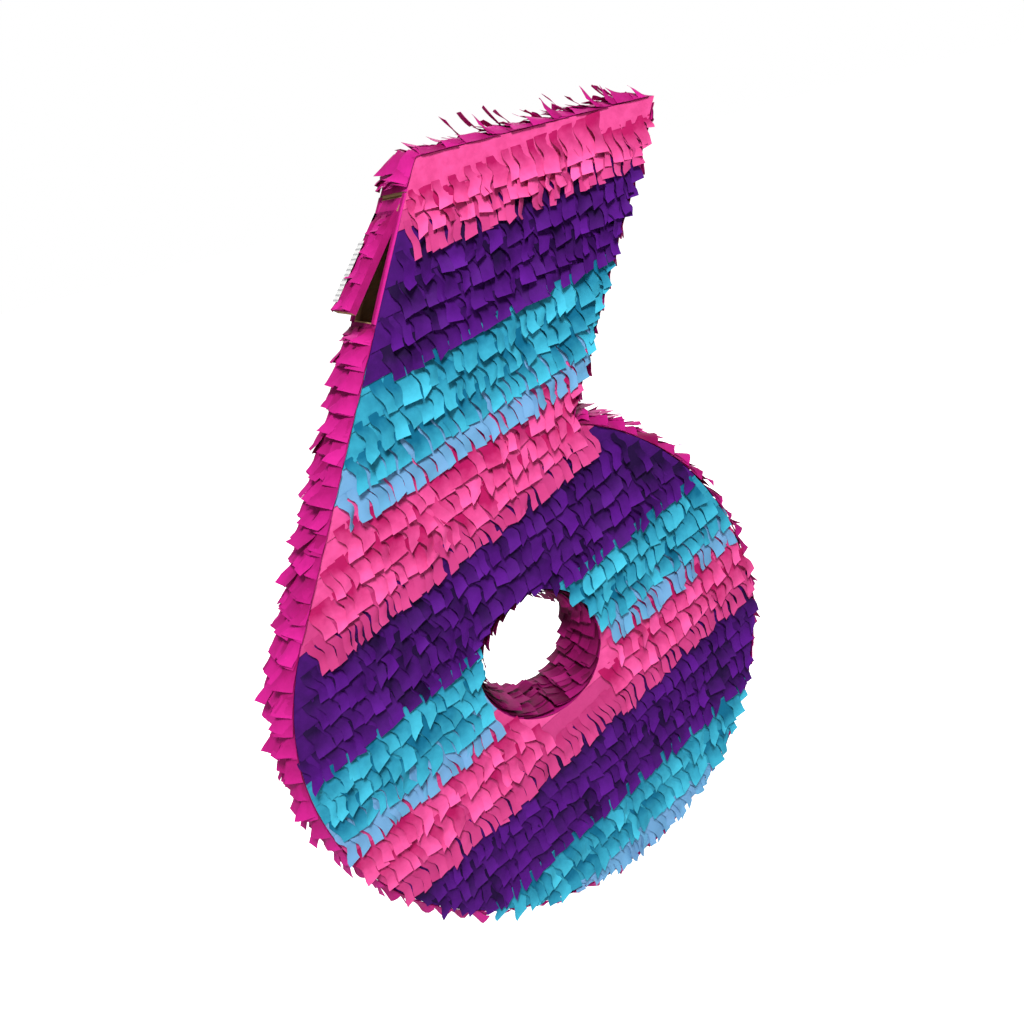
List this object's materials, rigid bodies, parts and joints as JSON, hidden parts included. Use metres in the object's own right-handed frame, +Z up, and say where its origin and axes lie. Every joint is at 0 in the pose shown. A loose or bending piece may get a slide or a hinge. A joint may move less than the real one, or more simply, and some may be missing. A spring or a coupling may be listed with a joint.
{
  "type": "pinata",
  "caption": "Flat hollow hanging party figure shaped as a digit six, covered with rows of cut tissue fringe, with cord holes in its top and a hinged filling door in its side.",
  "frame": {"origin": "middle of the depth, under the centre of the bowl, level with the lowest fringe", "axes": "+Z up, as the figure hangs with its top edge level; +X to the right as seen from the front; the front face looks along -Y"},
  "size_m": [0.384, 0.059, 0.564],
  "materials": {
    "board": "matte",
    "tape": "matte",
    "tissue_pink": "matte",
    "tissue_purple": "matte",
    "tissue_turquoise": "matte",
    "tissue_magenta": "matte",
    "label": "matte"
  },
  "bodies": {
    "shell": {"front_panel": "board", "back_panel": "board", "stem_left_wall": "board", "top_wall": "board", "stem_right_wall": "board", "bowl_right_wall": "board", "bowl_left_wall": "board", "hole_wall": "board", "hanger_patch": "board", "front_pink_top": "tissue_pink", "front_purple_top": "tissue_purple", "front_turquoise_top": "tissue_turquoise", "front_pink_mid": "tissue_pink", "front_purple_mid": "tissue_purple", "front_turquoise_mid_left": "tissue_turquoise", "front_turquoise_mid_right": "tissue_turquoise", "front_pink_low": "tissue_pink", "front_purple_low": "tissue_purple", "front_turquoise_low": "tissue_turquoise", "back_pink_top": "tissue_pink", "back_purple_top": "tissue_purple", "back_turquoise_top": "tissue_turquoise", "back_pink_mid": "tissue_pink", "back_purple_mid": "tissue_purple", "back_turquoise_mid_left": "tissue_turquoise", "back_turquoise_mid_right": "tissue_turquoise", "back_pink_low": "tissue_pink", "back_purple_low": "tissue_purple", "back_turquoise_low": "tissue_turquoise", "top_left_fringe": "tissue_magenta", "top_right_fringe": "tissue_magenta", "stem_left_upper_fringe": "tissue_magenta", "stem_left_lower_fringe": "tissue_magenta", "stem_right_fringe": "tissue_magenta", "bowl_left_fringe": "tissue_magenta", "bowl_right_fringe": "tissue_magenta", "hole_fringe": "tissue_magenta", "front_stem_left_tape": "tape", "front_above_door_tape": "tape", "front_top_tape": "tape", "front_stem_right_tape": "tape", "front_bowl_tape": "tape", "front_hole_tape": "tape", "back_stem_left_tape": "tape", "back_above_door_tape": "tape", "back_top_tape": "tape", "back_stem_right_tape": "tape", "back_bowl_tape": "tape", "back_hole_tape": "tape", "top_left_corner_tape": "tape", "top_right_corner_tape": "tape", "stem_splice_tape": "tape", "bottom_splice_tape": "tape"},
    "door": {"door_flap": "board", "door_fringe": "tissue_magenta", "paper_label": "label"}
  },
  "joints": [
    {"name": "door_hinge", "type": "hinge", "parent": "shell", "child": "door", "pos_m": [-0.00702, 0, 0.53465], "axis": [0, 1, 0], "range_deg": [-11, 79]}
  ]
}
